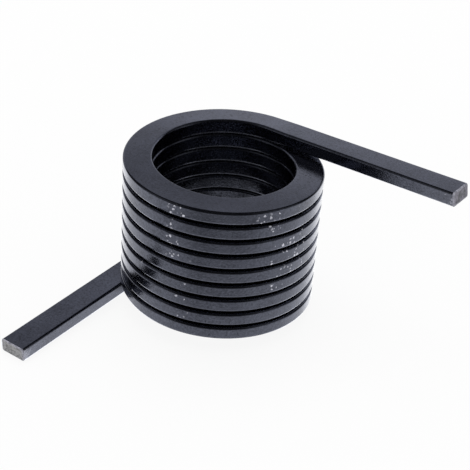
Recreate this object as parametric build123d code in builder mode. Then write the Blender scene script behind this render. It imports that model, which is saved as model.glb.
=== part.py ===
"""Flat-wire torsion spring: one bar of rectangular steel wound on edge into a left-hand coil.

The bar runs straight out of the coil at both ends, as two legs a quarter turn apart.
Lengths are in millimetres and angles in degrees. The coil's axis is Z, and the origin lies on it,
level with the middle of the wire where the lower leg leaves the coil.
"""

import os
from math import cos, pi, radians, sin, tan

from build123d import *

# Wire
wire_width = 8.0  # across the coil's wall, since the wire is bent on its narrow edge
wire_thickness = 4.0  # along the coil's axis
corner = 0.7  # flat in place of each rounded corner on the outer side; the bore side stays sharp
keystone = 0.6  # bending on edge leaves the wire this much thicker at the bore than outside

# Coil
bore_radius = 19.5
pitch = 4.5
whole_turns = 9
leg_angle = 90.0  # wound past the whole turns, from the lower leg on to the upper one
lower_leg_azimuth = 180.0  # where round the coil the lower leg leaves it
largest_sector = 90.0  # the coil is made in equal sectors, none much longer than this

# Legs, each reaching this far from the coil's axis to the middle of its sheared end
upper_leg_reach = 59.5
lower_leg_reach = 58.5
run_out = 6.0  # length of leg over which the keystone section becomes a plain one
upper_end_slant = 10.0  # lean of the sheared end, its lower edge outwards
lower_end_slant = -4.0

trim_allowance = 0.1  # left on each wall of the coil, then cut off to a true cylinder
outer_radius = bore_radius + wire_width
wire_radius = bore_radius + wire_width / 2  # of the wire's centre line
wound_angle = whole_turns * 360 + leg_angle
coil_rise = pitch * wound_angle / 360
lead = pitch / (2 * pi * wire_radius)  # rise of the wire for each millimetre round the coil
sectors = round(wound_angle / largest_sector)
sector_angle = wound_angle / sectors
sector_rise = coil_rise / sectors


def wire_corners(narrowing, allowance=0.0):
    """Corners of the wire's section, once round, as distances (outwards, up) from its middle.

    narrowing is how much thinner the outer side is than the inner one. allowance carries the
    four lines that meet the upright walls on past them, that far.
    """
    half_width = wire_width / 2
    half_thickness = wire_thickness / 2 - narrowing / 4  # on the outer side
    flat = half_width - corner
    slope = narrowing / (2 * wire_width)
    inner = half_thickness + slope * (wire_width + allowance)
    upper_half = [
        (half_width + allowance, half_thickness - corner - allowance),
        (flat, half_thickness + slope * corner),
        (-half_width - allowance, inner),
    ]
    return upper_half + [(outward, -up) for outward, up in reversed(upper_half)]


def across_wire(azimuth, height, way=1, run=0.0):
    """The upright plane square across the wire at this place round the coil.

    way is 1 to look along the wire as it climbs and -1 to look back down it. run moves the
    plane that far off the coil on the tangent, at the coil's own lead.
    """
    turned = radians(azimuth)
    outwards = Vector(cos(turned), sin(turned), 0)
    level = Vector(sin(turned), -cos(turned), 0) * way
    origin = outwards * wire_radius + level * run + Vector(0, 0, height + way * lead * run)
    return Plane(origin=origin, x_dir=outwards, z_dir=level)


def coil_face(start, end, sector):
    """The face that one side of the wire's section leaves as it is wound through one sector.

    start and end are the side's ends, each a (radius, height). The face is straight from one to
    the other. Its long edges are circular seen down the axis, and climb evenly.
    """
    half_angle = radians(sector_angle / 2)
    first = radians(lower_leg_azimuth) - 2 * half_angle * sector
    # each long edge is a conic with three control points
    stretches = (1, 1 / cos(half_angle), 1)
    edges = []
    weights = []
    for (radius, height), (other_radius, _) in ((start, end), (end, start)):
        edge = []
        for place, stretch in enumerate(stretches):
            turned = first - half_angle * place
            climbed = height + sector_rise * (sector + place / 2)
            reach = radius * stretch
            edge.append(Vector(reach * cos(turned), reach * sin(turned), climbed))
        edges.append(edge)
        weights.append([other_radius / wire_radius / stretch for stretch in stretches])
    return Face.make_bezier_surface(edges, weights)


with BuildPart() as torsion_spring:
    # Coil: wound a little too wide, then trimmed to its round bore and outside.
    section = wire_corners(keystone, trim_allowance)
    rim = [(wire_radius + outward, up) for outward, up in section]
    faces = []
    for sector in range(sectors):
        for start, end in zip(rim, rim[1:] + rim[:1]):
            faces.append(coil_face(start, end, sector))
    for azimuth, height in ((lower_leg_azimuth, 0), (lower_leg_azimuth - leg_angle, coil_rise)):
        with BuildSketch(across_wire(azimuth, height), mode=Mode.PRIVATE) as end_of_coil:
            with BuildLine():
                Polyline(*section, close=True)
            make_face()
        faces += end_of_coil.sketch.faces()
    add(Solid(Shell(faces)))
    with BuildSketch(Plane.XY.offset(-wire_thickness)):
        Circle(outer_radius)
        Circle(bore_radius, mode=Mode.SUBTRACT)
    extrude(amount=coil_rise + 2 * wire_thickness, mode=Mode.INTERSECT)

    # Legs: the upper one goes on up off the coil, and the lower one goes back down off it.
    for azimuth, height, way, reach, slant in (
        (lower_leg_azimuth - leg_angle, coil_rise, 1, upper_leg_reach, upper_end_slant),
        (lower_leg_azimuth, 0, -1, lower_leg_reach, lower_end_slant),
    ):
        on_coil = across_wire(azimuth, height, way)
        past_bend = across_wire(azimuth, height, way, run_out)
        at_end = across_wire(azimuth, height, way, reach)

        # the section goes from keystone to plain
        for plane, narrowing in ((on_coil, keystone), (past_bend, 0)):
            with BuildSketch(plane):
                with BuildLine():
                    Polyline(*wire_corners(narrowing), close=True)
                make_face()
        loft(ruled=True)

        # the plain bar, made overlong and sheared off on a slant
        with BuildSketch(past_bend):
            with BuildLine():
                Polyline(*wire_corners(0), close=True)
            make_face()
        along_leg = at_end.origin - past_bend.origin
        extrude(amount=along_leg.length + wire_thickness, dir=along_leg)
        leaning = at_end.z_dir + Vector(0, 0, tan(radians(slant)))
        split(bisect_by=Plane(at_end.origin, at_end.x_dir, leaning), keep=Keep.BOTTOM)

torsion_spring.part.label = "torsion_spring"

os.makedirs("parts", exist_ok=True)
export_step(torsion_spring.part, "parts/torsion_spring.step")
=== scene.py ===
from collections import namedtuple
from math import cos, pi, radians, sin, sqrt, tan

import bpy
import numpy as np
from mathutils import Matrix, Vector, noise


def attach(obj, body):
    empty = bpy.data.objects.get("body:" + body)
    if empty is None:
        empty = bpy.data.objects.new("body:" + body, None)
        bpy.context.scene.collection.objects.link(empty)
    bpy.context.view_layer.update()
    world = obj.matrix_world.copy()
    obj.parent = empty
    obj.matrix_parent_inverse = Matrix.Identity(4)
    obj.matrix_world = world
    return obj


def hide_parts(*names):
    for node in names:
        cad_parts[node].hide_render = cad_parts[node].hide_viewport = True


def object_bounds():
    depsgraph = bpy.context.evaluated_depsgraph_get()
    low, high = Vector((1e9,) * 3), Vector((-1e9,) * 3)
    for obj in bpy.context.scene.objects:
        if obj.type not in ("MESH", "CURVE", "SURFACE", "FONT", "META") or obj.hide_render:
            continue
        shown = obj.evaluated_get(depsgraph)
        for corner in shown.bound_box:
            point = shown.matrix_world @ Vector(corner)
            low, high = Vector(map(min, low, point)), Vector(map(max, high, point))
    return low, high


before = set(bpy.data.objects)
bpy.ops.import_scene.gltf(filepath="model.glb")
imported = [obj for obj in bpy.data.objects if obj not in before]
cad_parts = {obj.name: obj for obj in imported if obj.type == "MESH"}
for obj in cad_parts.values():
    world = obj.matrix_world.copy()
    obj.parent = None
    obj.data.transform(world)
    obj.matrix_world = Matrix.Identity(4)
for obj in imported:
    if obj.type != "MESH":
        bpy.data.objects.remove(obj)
cad_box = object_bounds()
scene = bpy.context.scene

# ---------------------------------------------------------------- sizes, in millimetres and degrees
MM = 0.001
WIDTH, THICKNESS, CORNER, KEYSTONE = 8.0, 4.0, 0.7, 0.6
BORE, PITCH = 19.5, 4.5
WOUND = 9.25 * 360.0
START = 180.0  # azimuth at which the lower leg leaves the coil
REACH_UP, REACH_LOW = 59.5, 58.5
RUN_OUT = 6.0  # length of leg over which the keystone section becomes a plain one
SLANT_UP, SLANT_LOW = 10.0, -4.0  # lean of each sheared end

OUTER_R = BORE + WIDTH
WIRE_R = BORE + WIDTH / 2  # of the wire's centre line
RISE = PITCH * WOUND / 360.0
LEAD = PITCH / (2 * pi * WIRE_R)  # rise for each millimetre round the coil
FLOOR_HEIGHT = cad_box[0][2]  # in metres

# ---------------------------------------------------------------- camera
IMAGE_SIDE = 470.0
FOCAL_PX = 1264.9
SENSOR = 36.0
DISTANCE, AZIMUTH, ELEVATION, ROLL = 365.9, 34.381, 31.941, 4.12
SLIDE_RIGHT, SLIDE_UP = 5.52, 16.10


def add_camera():
    """The photograph's camera, aimed at the coil's axis and then slid along its own image."""
    a, e, r = radians(AZIMUTH), radians(ELEVATION), radians(ROLL)
    back = Vector((sin(a) * cos(e), -cos(a) * cos(e), sin(e)))
    right = (-back).cross(Vector((0, 0, 1))).normalized()
    up = right.cross(-back)
    x = right * cos(r) + up * sin(r)
    y = up * cos(r) - right * sin(r)
    aim = Vector((0, 0, -THICKNESS / 2))
    place = (aim + back * DISTANCE + x * SLIDE_RIGHT + y * SLIDE_UP) * MM
    data = bpy.data.cameras.new("camera")
    data.sensor_width = SENSOR
    data.lens = FOCAL_PX / IMAGE_SIDE * SENSOR
    data.clip_start, data.clip_end = 0.01, 20.0
    camera = bpy.data.objects.new("camera", data)
    turn = Matrix((x, y, back)).transposed().to_4x4()
    camera.matrix_world = Matrix.Translation(place) @ turn
    scene.collection.objects.link(camera)
    scene.camera = camera


# ---------------------------------------------------------------- the spring's mesh
EDGE = 0.35  # radius of the rolled edge round each sheared end
TORN, TORN_SCALE = 0.18, 1.1  # depth of the torn face, and its patches to the millimetre
TORN_EDGE = 0.25  # share of the way in from its rim over which it deepens
# how finely the wire is meshed: points on the section, then sections along the wire
ARC_STEPS, SIDE_STEPS = 7, (6, 3)  # round each corner, and along the wide and the narrow sides
END_PART, END_PLACES = 4.0, 12  # length of leg by each cut that has its own number of sections
LEG_PLACES, RUN_OUT_PLACES = 12, 5
COIL_STEP = 3.0
# and the rings that close each cut: round its rolled edge, and over its face, by their size
EDGE_STEPS = 4
FACE_RINGS = (0.93, 0.85, 0.75, 0.62, 0.48, 0.34, 0.2, 0.08)

# a place along the wire: from_cut is its distance from the nearer cut, which is only rough on the coil
Station = namedtuple("Station", "middle height outward level on_coil keystone slant from_cut")


def section(keystone):
    """Points (outwards, up) and normals of the wire's section, once round from the outer side."""
    slope = keystone / (2 * WIDTH)
    lean = np.arctan(slope)
    across = WIDTH / 2 - CORNER
    rise = CORNER * sqrt(1 + slope * slope)
    outer = THICKNESS / 2 - slope * across - rise
    inner = THICKNESS / 2 + slope * across - rise
    corners = []
    for x, z, first, last in (
        (across, outer, 0.0, pi / 2 - lean),
        (-across, inner, pi / 2 - lean, pi),
        (-across, -inner, pi, 3 * pi / 2 + lean),
        (across, -outer, 3 * pi / 2 + lean, 2 * pi),
    ):
        turns = [first + (last - first) * k / ARC_STEPS for k in range(ARC_STEPS + 1)]
        corners.append([((x + CORNER * cos(t), z + CORNER * sin(t)), (cos(t), sin(t))) for t in turns])

    outline = []
    for corner, following, steps in zip(corners, corners[1:] + corners[:1], SIDE_STEPS * 2):
        outline += corner
        (x, z), normal = corner[-1]
        next_x, next_z = following[0][0]
        for k in range(1, steps):
            share = k / steps
            outline.append(((x + (next_x - x) * share, z + (next_z - z) * share), normal))
    points, normals = zip(*outline)
    return np.array(points), np.array(normals)


def stations():
    """Places along the wire, from just inside the lower cut end to just inside the upper one."""

    def frame_at(azimuth):
        """The way outwards and the way along the wire, both level."""
        a = radians(azimuth)
        return np.array([cos(a), sin(a)]), np.array([sin(a), -cos(a)])

    def leg(azimuth, height, way, reach, slant):
        """One leg's places, from its cut to the coil."""
        outward, level = frame_at(azimuth)
        ways_in = [*np.linspace(EDGE, END_PART, END_PLACES),
                   *np.linspace(END_PART, reach - RUN_OUT, LEG_PLACES)[1:]]
        places = [(reach - from_cut, from_cut, 0.0) for from_cut in ways_in]
        places += [(run, reach - run, KEYSTONE * (1 - run / RUN_OUT))
                   for run in np.linspace(RUN_OUT, 0, RUN_OUT_PLACES)[1:-1]]
        rows = []
        for run, from_cut, keystone in places:
            middle = outward * WIRE_R + level * run * way
            rise = LEAD * run * way
            lean = slant * max(0.0, 1.0 - (from_cut - EDGE) / END_PART)
            rows.append(Station(middle, height + rise, outward, level, False, keystone, lean, from_cut))
        return rows

    lower = leg(START, 0.0, -1, REACH_LOW, -tan(radians(SLANT_LOW)))
    upper = leg(START - WOUND, RISE, 1, REACH_UP, tan(radians(SLANT_UP)))
    coil = []
    for t in np.linspace(0, WOUND, int(WOUND / COIL_STEP) + 1):
        outward, level = frame_at(START - t)
        height = PITCH * t / 360.0
        coil.append(Station(outward * WIRE_R, height, outward, level, True, KEYSTONE, 0.0, REACH_LOW))
    return lower + coil + upper[::-1]


def build_spring():
    """The whole wire as one mesh.

    Each vertex keeps its distance from the nearer cut's rim, in millimetres, for the materials.
    """
    verts, norms, faces, from_rim = [], [], [], []
    rows = stations()
    count = len(section(KEYSTONE)[0])

    def unit(n):
        return np.array(n) / np.linalg.norm(n)

    def add_ring(points, normals, row, past, distance, face_normal=None, share=0.0):
        """One ring of the wire's section, carried past its station by this much up the wire.

        share is how far its normals are turned to the cut's own.
        """
        for (x, z), (nx, nz) in zip(points, normals):
            lead = PITCH / (2 * pi * (WIRE_R + x)) if row.on_coil else LEAD
            xy = row.middle + row.outward * x + row.level * (past - row.slant * z)
            verts.append(np.array([xy[0], xy[1], row.height + z + lead * past]))
            n = unit([*(row.outward * nx - row.level * lead * nz), nz])
            norms.append(n if face_normal is None else unit(n * (1 - share) + face_normal * share))
            from_rim.append(distance)

    def join(first, second):
        """The band of faces between two rings, each named by its first vertex."""
        for j in range(count):
            k = (j + 1) % count
            faces.append((first + j, first + k, second + k, second + j))

    for row in rows:
        add_ring(*section(row.keystone), row, 0.0, row.from_cut)
    for i in range(len(rows) - 1):
        join(i * count, (i + 1) * count)
    coat_faces = len(faces)

    # the sheared ends: a rolled edge, then the face, which is a little hollow and torn
    for row, last, way in ((rows[0], 0, -1), (rows[-1], (len(rows) - 1) * count, 1)):
        face_normal = unit([row.level[0] * way, row.level[1] * way, row.slant * way])
        points, normals = section(row.keystone)
        for k in range(1, EDGE_STEPS + 1):
            t = pi / 2 * k / EDGE_STEPS
            start = len(verts)
            add_ring(points - normals * EDGE * (1 - cos(t)), normals, row, way * EDGE * sin(t), EDGE * t,
                     face_normal, sin(t) ** 2)
            join(*((start, last) if way < 0 else (last, start)))
            last = start
        rim = points - normals * EDGE
        for shrink in FACE_RINGS:
            start = len(verts)
            distance = EDGE * pi / 2 + (1 - shrink) * THICKNESS / 2
            add_ring(rim * shrink, normals, row, way * EDGE, distance, face_normal, 1.0)
            for v in range(start, len(verts)):
                torn = noise.noise(Vector(verts[v]) * TORN_SCALE) * 0.5 + 0.5
                verts[v] = verts[v] - face_normal * TORN * torn * min(1.0, (1 - shrink) / TORN_EDGE)
            join(*((start, last) if way < 0 else (last, start)))
            last = start
        loop = [last + j for j in range(count)]
        faces.append(tuple(reversed(loop) if way < 0 else loop))

    mesh = bpy.data.meshes.new("spring_wire")
    mesh.from_pydata([tuple(v * MM) for v in verts], [], faces)
    mesh.polygons.foreach_set("use_smooth", [True] * len(faces))
    mesh.polygons.foreach_set("material_index", [int(i >= coat_faces) for i in range(len(faces))])
    mesh.attributes.new("from_rim", "FLOAT", "POINT").data.foreach_set("value", from_rim)
    mesh.update()
    mesh.normals_split_custom_set_from_vertices([tuple(n) for n in norms])
    spring = bpy.data.objects.new("spring_wire", mesh)
    scene.collection.objects.link(spring)
    return spring


# ---------------------------------------------------------------- node helpers
def tree_of(owner):
    """The emptied node tree of a material or world."""
    owner.use_nodes = True
    owner.node_tree.nodes.clear()
    return owner.node_tree


def node(tree, kind, inputs=None, **settings):
    """A new node. Each of its inputs is linked where it is given a socket, and set otherwise."""
    new = tree.nodes.new(kind)
    for key, value in settings.items():
        setattr(new, key, value)
    for key, value in (inputs or {}).items():
        if isinstance(value, bpy.types.NodeSocket):
            tree.links.new(value, new.inputs[key])
        else:
            new.inputs[key].default_value = value
    return new


def calc(tree, operation, *values):
    """One number out of one or two."""
    return node(tree, "ShaderNodeMath", dict(enumerate(values)), operation=operation).outputs[0]


def product(tree, first, *others):
    for value in others:
        first = calc(tree, "MULTIPLY", first, value)
    return first


def between(tree, value, first, last, low=0.0, high=1.0):
    """low where the value is first, high where it is last, and held outside them."""
    return node(tree, "ShaderNodeMapRange", {"Value": value, "From Min": first, "From Max": last,
                                             "To Min": low, "To Max": high}).outputs[0]


def level_mix(tree, share, first, second):
    """A number, from the first to the second as the share goes from 0 to 1."""
    return node(tree, "ShaderNodeMix", {"Factor": share, 2: first, 3: second}, data_type="FLOAT").outputs[0]


def colour_mix(tree, share, first, second):
    """A colour, from the first to the second as the share goes from 0 to 1."""
    return node(tree, "ShaderNodeMix", {"Factor": share, 6: first, 7: second}, data_type="RGBA").outputs[2]


def noise_of(tree, place, scale, detail, roughness=0.5):
    return node(tree, "ShaderNodeTexNoise", {"Vector": place, "Scale": scale, "Detail": detail,
                                             "Roughness": roughness}).outputs["Fac"]


def place_in(tree, kind="Object"):
    """The place being shaded, in metres, or with Generated the way being looked in the world."""
    return node(tree, "ShaderNodeTexCoord").outputs[kind]


def part_of(tree, vector, axis):
    return node(tree, "ShaderNodeSeparateXYZ", {0: vector}).outputs[axis]


def along(tree, vector, way):
    """How far a vector goes that way."""
    return node(tree, "ShaderNodeVectorMath", {0: vector, 1: way}, operation="DOT_PRODUCT").outputs["Value"]


def normal_in(tree):
    return node(tree, "ShaderNodeNewGeometry").outputs["Normal"]


def from_rim_in(tree):
    """Distance from the nearer cut's rim, in millimetres."""
    return node(tree, "ShaderNodeAttribute", attribute_name="from_rim").outputs["Fac"]


# ---------------------------------------------------------------- materials
# a noise is its patches to the metre, its detail and its roughness
MIDDLE, WIDE = (0.35, 0.65), (0.3, 0.7)  # most of a noise's values lie between these

# the coat
GRAIN, CLOUD = (1700.0, 3.0, 0.75), (120.0, 4.0)
GRAIN_DEPTH = 0.03  # in millimetres
COAT_COLOURS = (0.0012, 0.0012, 0.0028, 1), (0.0022, 0.0021, 0.0030, 1)
COAT_IOR, COAT_TINT = 2.2, (0.73, 0.78, 1.0, 1)
SHINE = 0.30, 0.76  # 0.5 leaves the coat's plain reflection
SHINE_GRAIN = 0.75  # share of the grain in it, the rest being the cloud
SMOOTH, PITTED = 0.085, 0.30  # roughness of the coat and of its pits
PIT = 0.46, 0.38  # where the grain's value makes a pit's rim and its floor
CLOUD_ROUGH = 0.03  # roughness that the cloud adds

# its painted glints: pale spots painted into the colour where light glints off the coat, in cells of the
# outer wall laid flat
GLINT_CELL = 1.2  # in millimetres
GLINT_SIZE, GLINT_EDGE = (0.17, 0.42), 0.16  # radius and soft edge, in cells
GLINT_CHANCE = 0.004  # share of cells with a painted glint, outside the patches
GLINT_FAINTEST, GLINT_FULL = 0.14, 0.8  # strength of the faintest, and the draw from which one is full
GLINT_COLOUR = (0.72, 0.72, 0.78, 1)
GLINT_WALL = 0.3, 0.1  # how far inside the coil's radius they start and are whole
GLINT_OUTLINE, RAGGED = (2600.0, 2.0, 0.6), 0.8  # noise of their outlines, and how ragged they are
# each patch: azimuth, height, half width, half height, and the share of its cells that have a painted glint
GLINT_PATCHES = (
    (-80, 38.5, 2.8, 2.5, 1.0), (-82, 34.5, 2.0, 1.6, 0.7), (-81, 30, 2.2, 1.8, 0.9),
    (-81, 25.8, 2.0, 1.3, 0.9), (-76, 15, 4.0, 5.5, 0.12), (-77, 6, 3.5, 1.5, 0.7),
    (-28, 38, 4.0, 2.2, 1.0), (-25, 34.7, 2.2, 1.2, 1.0), (-23, 30, 1.2, 1.0, 0.6),
    (-24, 23.8, 2.0, 1.0, 0.8), (-20, 16.5, 2.5, 1.2, 0.7), (-14, 28, 3.0, 2.0, 0.4),
    (-15, 20.5, 3.5, 2.0, 0.5), (-5, 25, 5.0, 7.0, 0.45),
)
PATCH_EDGE = 1.4, 0.4  # where it starts and is whole, as a square of the way out in half sizes

# bare chips and wear by the sheared ends
CHIPS = (900.0, 2.0)
CHIP_COLOUR = (0.28, 0.28, 0.31, 1)
CHIP_EDGE = 0.48, 0.60  # the noise's value where the coat ends and where the chip is bare
CHIP_REACH, CHIP_SHIFT = (0.5, 6.0), (0.08, -0.36)  # added to the noise, by the distance from the rim
WEAR_REACH, WEAR = (12.0, 2.0), 0.15  # thin wear, by the distance from the rim
CHIP_SIDE = 0.6, 0.1  # the normal's upward part: the leg's upper side has no chips

# the cuts
CUT_GRAIN, CUT_PATCH = (1300.0, 4.0, 0.65), (420.0, 3.0)
CUT_DEPTH = 0.08  # in millimetres
CUT_IOR, CUT_ROUGH = 1.6, (0.38, 0.6)
STREAKS = 0.86, 1.14  # sum of the two noises where the steel is darkest and palest
UPPER_FACE = (0.035, 0.035, 0.05, 1), (0.21, 0.20, 0.25, 1)  # darkest and palest
LOWER_FACE = (0.08, 0.08, 0.085, 1), (0.33, 0.33, 0.34, 1)
RIM = (0.18, 0.18, 0.22, 1), (0.46, 0.46, 0.54, 1)
RIM_END, RIM_WANDER = (0.9, 0.3), 2.2  # how far in the pale rim reaches, and how unevenly
LOWER_CUT = 0.01, 0.0  # x in metres, between the upper cut and the lower one
# painted shade on the cuts: edges that face down and out are darkened to near black
DOWN_SHADE = -0.75, -0.1  # where the painted shade on edges turned down and out starts and is whole
DOWN_SHADE_COLOUR = (0.01, 0.01, 0.012, 1)
# A normal's dot product with this is -1 on both cuts, and on the upper and inner sides of both
# legs. It is 1 on their undersides and outer sides.
OUT_AND_DOWN = (-1.0, 1.0, -1.0)


def painted_glints(tree, place):
    """Where the outer wall has a painted glint: a pale spot painted where light glints off the coat. They lie
    in two streaks down the coil.
    """
    x, y = part_of(tree, place, "X"), part_of(tree, place, "Y")
    off_axis = calc(tree, "SQRT", calc(tree, "ADD", product(tree, x, x), product(tree, y, y)))
    outside = between(tree, off_axis, *((OUTER_R - inside) * MM for inside in GLINT_WALL))
    around = calc(tree, "MULTIPLY", calc(tree, "ARCTAN2", y, x), OUTER_R)
    height = calc(tree, "DIVIDE", part_of(tree, place, "Z"), MM)

    chance = GLINT_CHANCE
    for azimuth, middle, half_width, half_height, share in GLINT_PATCHES:
        aside = calc(tree, "SUBTRACT", around, radians(azimuth) * OUTER_R)
        aside = calc(tree, "DIVIDE", aside, half_width)
        above = calc(tree, "DIVIDE", calc(tree, "SUBTRACT", height, middle), half_height)
        away = calc(tree, "ADD", product(tree, aside, aside), product(tree, above, above))
        chance = calc(tree, "ADD", chance, between(tree, away, *PATCH_EDGE, 0.0, share))

    wall = node(tree, "ShaderNodeCombineXYZ", {0: around, 1: height}).outputs[0]
    cells = node(tree, "ShaderNodeTexVoronoi", {"Vector": wall, "Scale": 1 / GLINT_CELL},
                 voronoi_dimensions="2D")
    pick = node(tree, "ShaderNodeSeparateColor", {0: cells.outputs["Color"]}).outputs
    chosen = calc(tree, "LESS_THAN", pick[0], chance)
    size = between(tree, product(tree, pick[1], pick[1]), 0.0, 1.0, *GLINT_SIZE)
    faint = between(tree, pick[2], 0.0, GLINT_FULL, GLINT_FAINTEST, 1.0)
    outline_wobble = calc(tree, "SUBTRACT", noise_of(tree, place, *GLINT_OUTLINE), 0.5)
    ragged = calc(tree, "ADD", cells.outputs["Distance"], calc(tree, "MULTIPLY", outline_wobble, RAGGED))
    dot = between(tree, calc(tree, "SUBTRACT", size, ragged), 0.0, GLINT_EDGE)
    return product(tree, dot, chosen, faint, outside)


def chips(tree, place):
    """Where the coat is off: bare chips close to the cuts, and thin wear a little further on."""
    from_rim = from_rim_in(tree)
    shift = between(tree, from_rim, *CHIP_REACH, *CHIP_SHIFT)
    torn = calc(tree, "ADD", noise_of(tree, place, *CHIPS), shift)
    wear = between(tree, from_rim, *WEAR_REACH, 0.0, WEAR)
    bare = calc(tree, "MAXIMUM", between(tree, torn, *CHIP_EDGE), wear)
    return product(tree, bare, between(tree, part_of(tree, normal_in(tree), "Z"), *CHIP_SIDE))


def coat_material():
    """Black oxide coat: finely mottled and a little pitted, with painted glints (pale spots) and chips."""
    material = bpy.data.materials.new("black_coat")
    tree = tree_of(material)
    place = place_in(tree)
    grain = noise_of(tree, place, *GRAIN)
    cloud = noise_of(tree, place, *CLOUD)

    colour = colour_mix(tree, between(tree, cloud, *MIDDLE), *COAT_COLOURS)
    # painted glints: pale spots painted into the colour where light glints
    colour = colour_mix(tree, painted_glints(tree, place), colour, GLINT_COLOUR)
    colour = colour_mix(tree, chips(tree, place), colour, CHIP_COLOUR)
    mottle = calc(tree, "ADD", product(tree, grain, SHINE_GRAIN), product(tree, cloud, 1 - SHINE_GRAIN))
    rough = calc(tree, "ADD", between(tree, cloud, *WIDE, 0.0, CLOUD_ROUGH),
                 between(tree, grain, *PIT, SMOOTH, PITTED))
    bump = node(tree, "ShaderNodeBump", {"Strength": 1.0, "Distance": GRAIN_DEPTH * MM, "Height": grain})
    shader = node(tree, "ShaderNodeBsdfPrincipled", {
        "Base Color": colour, "Roughness": rough, "IOR": COAT_IOR,
        "Specular IOR Level": between(tree, mottle, *MIDDLE, *SHINE),
        "Specular Tint": COAT_TINT, "Normal": bump.outputs[0]})
    node(tree, "ShaderNodeOutputMaterial", {"Surface": shader.outputs[0]})
    return material


def cut_material():
    """Sheared steel: a pale torn rim round a darker, streaked face, and painted shade, near black, on two of
    its edges: those that face down and out.
    """
    material = bpy.data.materials.new("sheared_steel")
    tree = tree_of(material)
    place = place_in(tree)
    grain = noise_of(tree, place, *CUT_GRAIN)
    patch = noise_of(tree, place, *CUT_PATCH)

    streak = between(tree, calc(tree, "ADD", grain, patch), *STREAKS)
    lower = between(tree, part_of(tree, place, "X"), *LOWER_CUT)
    dark, pale = (colour_mix(tree, lower, *pair) for pair in zip(UPPER_FACE, LOWER_FACE))
    face = colour_mix(tree, streak, dark, pale)
    rim = colour_mix(tree, streak, *RIM)
    wander = calc(tree, "MULTIPLY", calc(tree, "SUBTRACT", patch, 0.5), RIM_WANDER)
    inwards = calc(tree, "ADD", from_rim_in(tree), wander)
    colour = colour_mix(tree, between(tree, inwards, *RIM_END), face, rim)
    # painted shade: darker where the normal turns down and out
    shade_share = between(tree, along(tree, normal_in(tree), OUT_AND_DOWN), *DOWN_SHADE)
    colour = colour_mix(tree, shade_share, colour, DOWN_SHADE_COLOUR)
    bump = node(tree, "ShaderNodeBump", {"Strength": 1.0, "Distance": CUT_DEPTH * MM, "Height": grain})
    shader = node(tree, "ShaderNodeBsdfPrincipled", {
        "Base Color": colour, "Roughness": between(tree, patch, *WIDE, *CUT_ROUGH), "IOR": CUT_IOR,
        "Normal": bump.outputs[0]})
    node(tree, "ShaderNodeOutputMaterial", {"Surface": shader.outputs[0]})
    return material


# ---------------------------------------------------------------- studio
WHITE = 1.0  # the strength that shows as white
FRONT = Vector((sin(radians(AZIMUTH)), -cos(radians(AZIMUTH)), 0.0))  # level way to the camera's side
RIGHT = Vector((-FRONT.y, FRONT.x, 0.0))

# the floor
FLOOR_HALF = 3.0  # in metres
FLOOR_COLOUR = (0.9, 0.9, 0.9, 1)
FLOOR_GLOW = 0.9  # share of its white that no shadow takes away
SHADE_SHIFT = 5.0  # how far towards the camera the shade of the bore lies, in millimetres
# Brightness of the floor inside the bore, as the coat mirrors it. The coil shades its near side and
# its right. Each range is how far towards the camera, or to the right, in bore radii.
BORE_FAR, BORE_NEAR, BORE_RIGHT = 0.8, 0.03, 0.2
BORE_AHEAD, BORE_ASIDE = (-1.0, 0.2), (0.2, 0.8)
# a lit strip of it under the near wall: how much is added, from where to where, and its soft edge,
# in millimetres
LIT, LIT_FIRST, LIT_LAST, LIT_EDGE = 0.6, 16.5, 23.0, 1.0

# the pale paper behind, in metres, and its brightness at each height over the floor
CARD_BEHIND = 0.101
CARD_HALF, CARD_TALL = 0.17, 0.26
CARD_COLOUR = (0.97, 0.98, 1.05, 1)
CARD = ((0.0, 0.55), (0.082, 0.70), (0.092, 0.56), (0.098, 0.49), (0.105, 0.43), (0.112, 0.35), (0.122, 0.31),
        (0.145, 0.42), (0.165, 0.44), (0.195, 0.04))
CARD_RIGHT = 1.32  # share of it half-way out to the right
CARD_LEFT = 0.68  # share of it low down on the left
CARD_OUT, CARD_DOWN = (-0.1, -0.25), (0.10, 0.08)  # ranges of that, out in half widths and down in metres

# The world as the coat mirrors it. Each pair is where a change starts and where it is whole. That is
# either a turn, from the camera's side (1) round to the far side (-1), or the upward part of a way,
# with 0 at the horizon.
DARK_LEVEL, SIDE_LEVEL = 0.025, 0.16  # brightness of the room, and of its side walls
SIDE_FRONT, SIDE_BACK, SIDE_TOP = (0.8, 0.4), (-0.25, 0.05), (0.92, 0.75)
# brightness of the far floor, from the camera's side (0) round to the far side (1)
FLOOR_ROUND = ((0.0, 0.66), (0.25, 0.68), (0.45, 0.79), (0.62, 0.98), (0.80, 1.24), (0.90, 1.85), (1.0, 1.7))
FLOOR_TOP = 2.0  # above all of those
HORIZON = -0.04, -0.30  # where the floor starts
HORIZON_BESIDE = 0.30  # how much higher that is to the left and right
BESIDE_FRONT, BESIDE_BACK = (0.75, 0.50), (-0.10, 0.20)
NEAR_FRONT, NEAR_BESIDE = 0.35, 1.1  # how much brighter the floor is close to the object
NEAR_TURN, NEAR_DOWN = (0.6, -0.4), (-0.60, -0.70)
FLOOR_BELOW, BELOW = 0.7, (-0.80, -0.92)  # its brightness straight below
FOOT_LEAST = 0.12  # share of it left at the foot of the paper that stands behind
FOOT_TURN, FOOT_DOWN = (-0.90, -0.97), (-0.50, -0.455)
HOOD_LEAST = 0.3  # share of it left where the camera itself stands in the way
HOOD_TURN, HOOD_DOWN = (0.65, 0.95), (-0.60, -0.48)
SOFT_SKY = 0.75  # brightness of the whole world for light that spreads

LAMP_PLACE, LAMP_SIZE, LAMP_POWER = (-0.2, 0.3, 1.2), 1.0, 5.0


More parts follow.
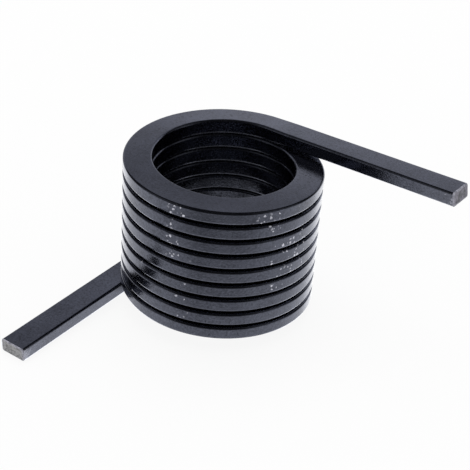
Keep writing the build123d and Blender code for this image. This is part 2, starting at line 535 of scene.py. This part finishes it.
def ramp_of(tree, value, stops, span=1.0, top=1.0):
    """Brightness at a value from 0 to span, through these (value, brightness) stops. None is over top."""
    ramp = node(tree, "ShaderNodeValToRGB", {"Fac": calc(tree, "DIVIDE", value, span)})
    marks = ramp.color_ramp.elements
    while len(marks) < len(stops):
        marks.new(0.5)
    for mark, (at, level) in zip(marks, stops):
        mark.position = at / span
        mark.color = (level / top, level / top, level / top, 1)
    return calc(tree, "MULTIPLY", ramp.outputs[0], top)


def stand(name, corners, material):
    """One flat sheet of the studio."""
    mesh = bpy.data.meshes.new(name)
    mesh.from_pydata(corners, [], [(0, 1, 2, 3)])
    thing = bpy.data.objects.new(name, mesh)
    scene.collection.objects.link(thing)
    mesh.materials.append(material)
    return thing


def add_floor():
    """White paper. The coat mirrors only its shade in the bore, and the world stands for the rest of it."""
    material = bpy.data.materials.new("paper")
    tree = tree_of(material)
    path = node(tree, "ShaderNodeLightPath").outputs
    place = place_in(tree)

    # as the coat mirrors it
    ahead, aside = along(tree, place, FRONT), along(tree, place, RIGHT)
    in_bore = between(tree, ahead, *(at * BORE * MM for at in BORE_AHEAD), BORE_FAR, BORE_NEAR)
    lit = product(tree, between(tree, ahead, LIT_FIRST * MM, (LIT_FIRST + LIT_EDGE) * MM),
                  between(tree, ahead, LIT_LAST * MM, (LIT_LAST - LIT_EDGE) * MM), LIT)
    in_bore = product(tree, calc(tree, "ADD", in_bore, lit),
                      between(tree, aside, *(at * BORE * MM for at in BORE_ASIDE), 1.0, BORE_RIGHT))
    shade = node(tree, "ShaderNodeEmission", {"Color": (1, 1, 1, 1), "Strength": in_bore})
    through = node(tree, "ShaderNodeBsdfTransparent")
    middle = FRONT * SHADE_SHIFT * MM + Vector((0, 0, FLOOR_HEIGHT))
    off_middle = node(tree, "ShaderNodeVectorMath", {0: place, 1: middle}, operation="DISTANCE")
    far = between(tree, off_middle.outputs["Value"], BORE * MM, WIRE_R * MM)
    mirrored = node(tree, "ShaderNodeMixShader", {0: far, 1: shade.outputs[0], 2: through.outputs[0]})

    # as it is seen
    cloth = node(tree, "ShaderNodeBsdfDiffuse", {"Color": FLOOR_COLOUR})
    white = node(tree, "ShaderNodeEmission", {"Color": (1, 1, 1, 1), "Strength": WHITE})
    seen = calc(tree, "MAXIMUM", path["Is Camera Ray"], path["Is Transmission Ray"])
    plain = node(tree, "ShaderNodeMixShader", {
        0: product(tree, seen, FLOOR_GLOW), 1: cloth.outputs[0], 2: white.outputs[0]})
    mix = node(tree, "ShaderNodeMixShader", {
        0: path["Is Glossy Ray"], 1: plain.outputs[0], 2: mirrored.outputs[0]})
    node(tree, "ShaderNodeOutputMaterial", {"Surface": mix.outputs[0]})
    s, z = FLOOR_HALF, FLOOR_HEIGHT
    stand("floor", [(-s, -s, z), (s, -s, z), (s, s, z), (-s, s, z)], material)


def add_card():
    """The pale paper close behind the object, which only its reflections show."""
    material = bpy.data.materials.new("card")
    tree = tree_of(material)
    place = place_in(tree)
    height = part_of(tree, place, "Z")
    right = along(tree, place, RIGHT)
    level = ramp_of(tree, calc(tree, "SUBTRACT", height, FLOOR_HEIGHT), CARD, CARD_TALL)
    lower_left = product(tree, between(tree, right, *(out * CARD_HALF for out in CARD_OUT)),
                         between(tree, height, *CARD_DOWN))
    level = product(tree, level, between(tree, lower_left, 0.0, 1.0, 1.0, CARD_LEFT),
                    between(tree, right, 0.0, CARD_HALF / 2, 1.0, CARD_RIGHT))
    glow = node(tree, "ShaderNodeEmission", {"Color": CARD_COLOUR, "Strength": level})
    node(tree, "ShaderNodeOutputMaterial", {"Surface": glow.outputs[0]})
    across = RIGHT * CARD_HALF
    foot = -FRONT * CARD_BEHIND + Vector((0, 0, FLOOR_HEIGHT))
    up = Vector((0, 0, CARD_TALL))
    card = stand("card", [foot - across, foot + across, foot + across + up, foot - across + up], material)
    card.visible_camera = card.visible_diffuse = card.visible_shadow = card.visible_transmission = False


def add_world():
    """A soft white room for the light that spreads. The coat mirrors a dim one over a white floor."""
    world = bpy.data.worlds.new("studio")
    scene.world = world
    tree = tree_of(world)
    way = place_in(tree, "Generated")
    up = part_of(tree, way, "Z")
    level_part = calc(tree, "SQRT", calc(tree, "SUBTRACT", 1.0, product(tree, up, up)))
    turn = calc(tree, "DIVIDE", along(tree, way, FRONT), calc(tree, "MAXIMUM", level_part, 0.001))

    def where(turns, ups):
        """The part of the world inside a range of turn and one of up."""
        return product(tree, between(tree, turn, *turns), between(tree, up, *ups))

    walls = product(tree, where(SIDE_FRONT, SIDE_TOP), between(tree, turn, *SIDE_BACK))
    room = between(tree, walls, 0.0, 1.0, DARK_LEVEL, SIDE_LEVEL)
    floor = ramp_of(tree, between(tree, turn, 1.0, -1.0), FLOOR_ROUND, top=FLOOR_TOP)
    beside = product(tree, between(tree, turn, *BESIDE_FRONT), between(tree, turn, *BESIDE_BACK))
    lifted = calc(tree, "SUBTRACT", up, product(tree, beside, HORIZON_BESIDE))
    floor = product(tree, floor, between(tree, lifted, *HORIZON))
    near = product(tree, between(tree, up, *NEAR_DOWN),
                   between(tree, turn, *NEAR_TURN, NEAR_FRONT, NEAR_BESIDE))
    floor = product(tree, floor, calc(tree, "ADD", near, 1.0))
    floor = level_mix(tree, between(tree, up, *BELOW), floor, FLOOR_BELOW)
    for turns, ups, least in ((FOOT_TURN, FOOT_DOWN, FOOT_LEAST), (HOOD_TURN, HOOD_DOWN, HOOD_LEAST)):
        floor = product(tree, floor, between(tree, where(turns, ups), 0.0, 1.0, 1.0, least))

    path = node(tree, "ShaderNodeLightPath").outputs
    level = level_mix(tree, path["Is Diffuse Ray"], calc(tree, "MAXIMUM", room, floor), SOFT_SKY)
    level = level_mix(tree, path["Is Camera Ray"], level, WHITE)
    sky = node(tree, "ShaderNodeBackground", {"Color": (1, 1, 1, 1), "Strength": level})
    node(tree, "ShaderNodeOutputWorld", {"Surface": sky.outputs[0]})


def add_lamp():
    """The soft light overhead, which the coat does not mirror."""
    data = bpy.data.lights.new("overhead", "AREA")
    data.shape = "DISK"
    data.size = LAMP_SIZE
    data.energy = LAMP_POWER
    lamp = bpy.data.objects.new("overhead", data)
    lamp.location = LAMP_PLACE
    lamp.rotation_euler = (-Vector(LAMP_PLACE)).to_track_quat("-Z", "Y").to_euler()
    lamp.visible_glossy = False
    scene.collection.objects.link(lamp)


# ---------------------------------------------------------------- assembly
add_camera()
wire = build_spring()
wire.data.materials.append(coat_material())
wire.data.materials.append(cut_material())
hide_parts("torsion_spring")
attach(wire, "root")
add_floor()
add_card()
add_world()
add_lamp()

scene.view_settings.view_transform = "Standard"
